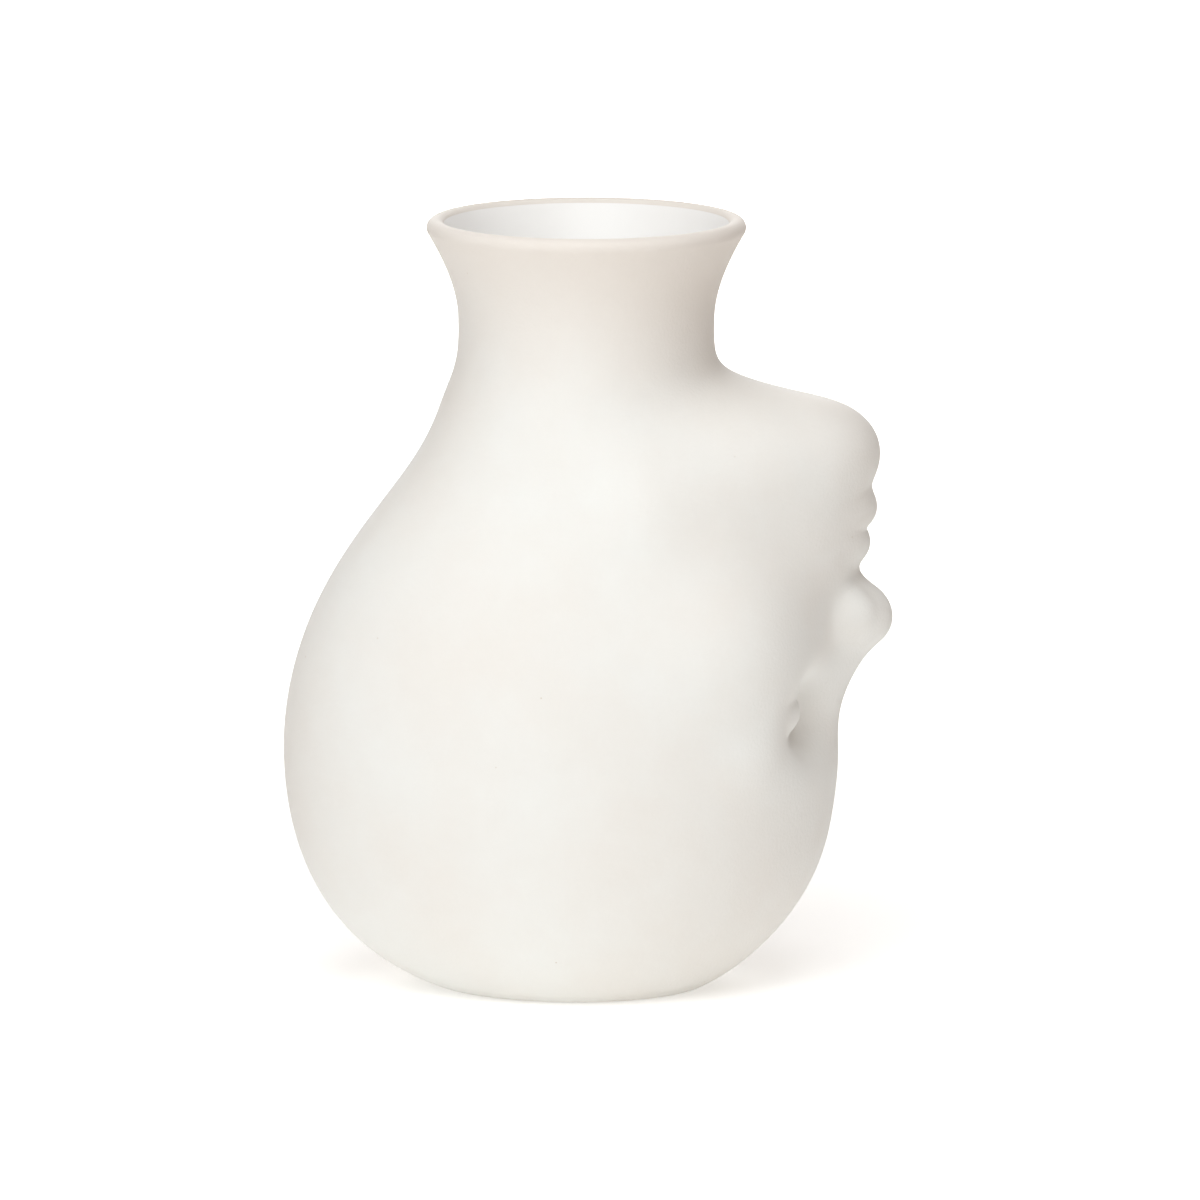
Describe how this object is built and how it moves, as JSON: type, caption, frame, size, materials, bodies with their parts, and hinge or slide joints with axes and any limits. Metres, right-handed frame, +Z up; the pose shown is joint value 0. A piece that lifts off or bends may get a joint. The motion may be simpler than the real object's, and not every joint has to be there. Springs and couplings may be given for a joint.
{
  "type": "head vase",
  "caption": "Matt white porcelain vase shaped as an upturned smooth head, its neck flaring into a round mouth; holds water, stems or dried flowers.",
  "frame": {"origin": "on the axis of the neck, in the plane of the table", "axes": "+Z up along the neck, +X the way the face looks, +Y to the left when looking along +X with +Z up"},
  "size_m": [0.197, 0.1408, 0.25],
  "materials": {
    "porcelain": "matt unglazed outside, thin clear glaze inside",
    "slip": "fettled and fired with the body",
    "pad": "soft translucent white"
  },
  "bodies": {
    "root": {"head_shell": "porcelain", "neck_collar": "porcelain", "luting_slip": "slip", "foot_pad_front_left": "pad", "foot_pad_back_left": "pad", "foot_pad_back_right": "pad", "foot_pad_front_right": "pad"}
  },
  "joints": []
}
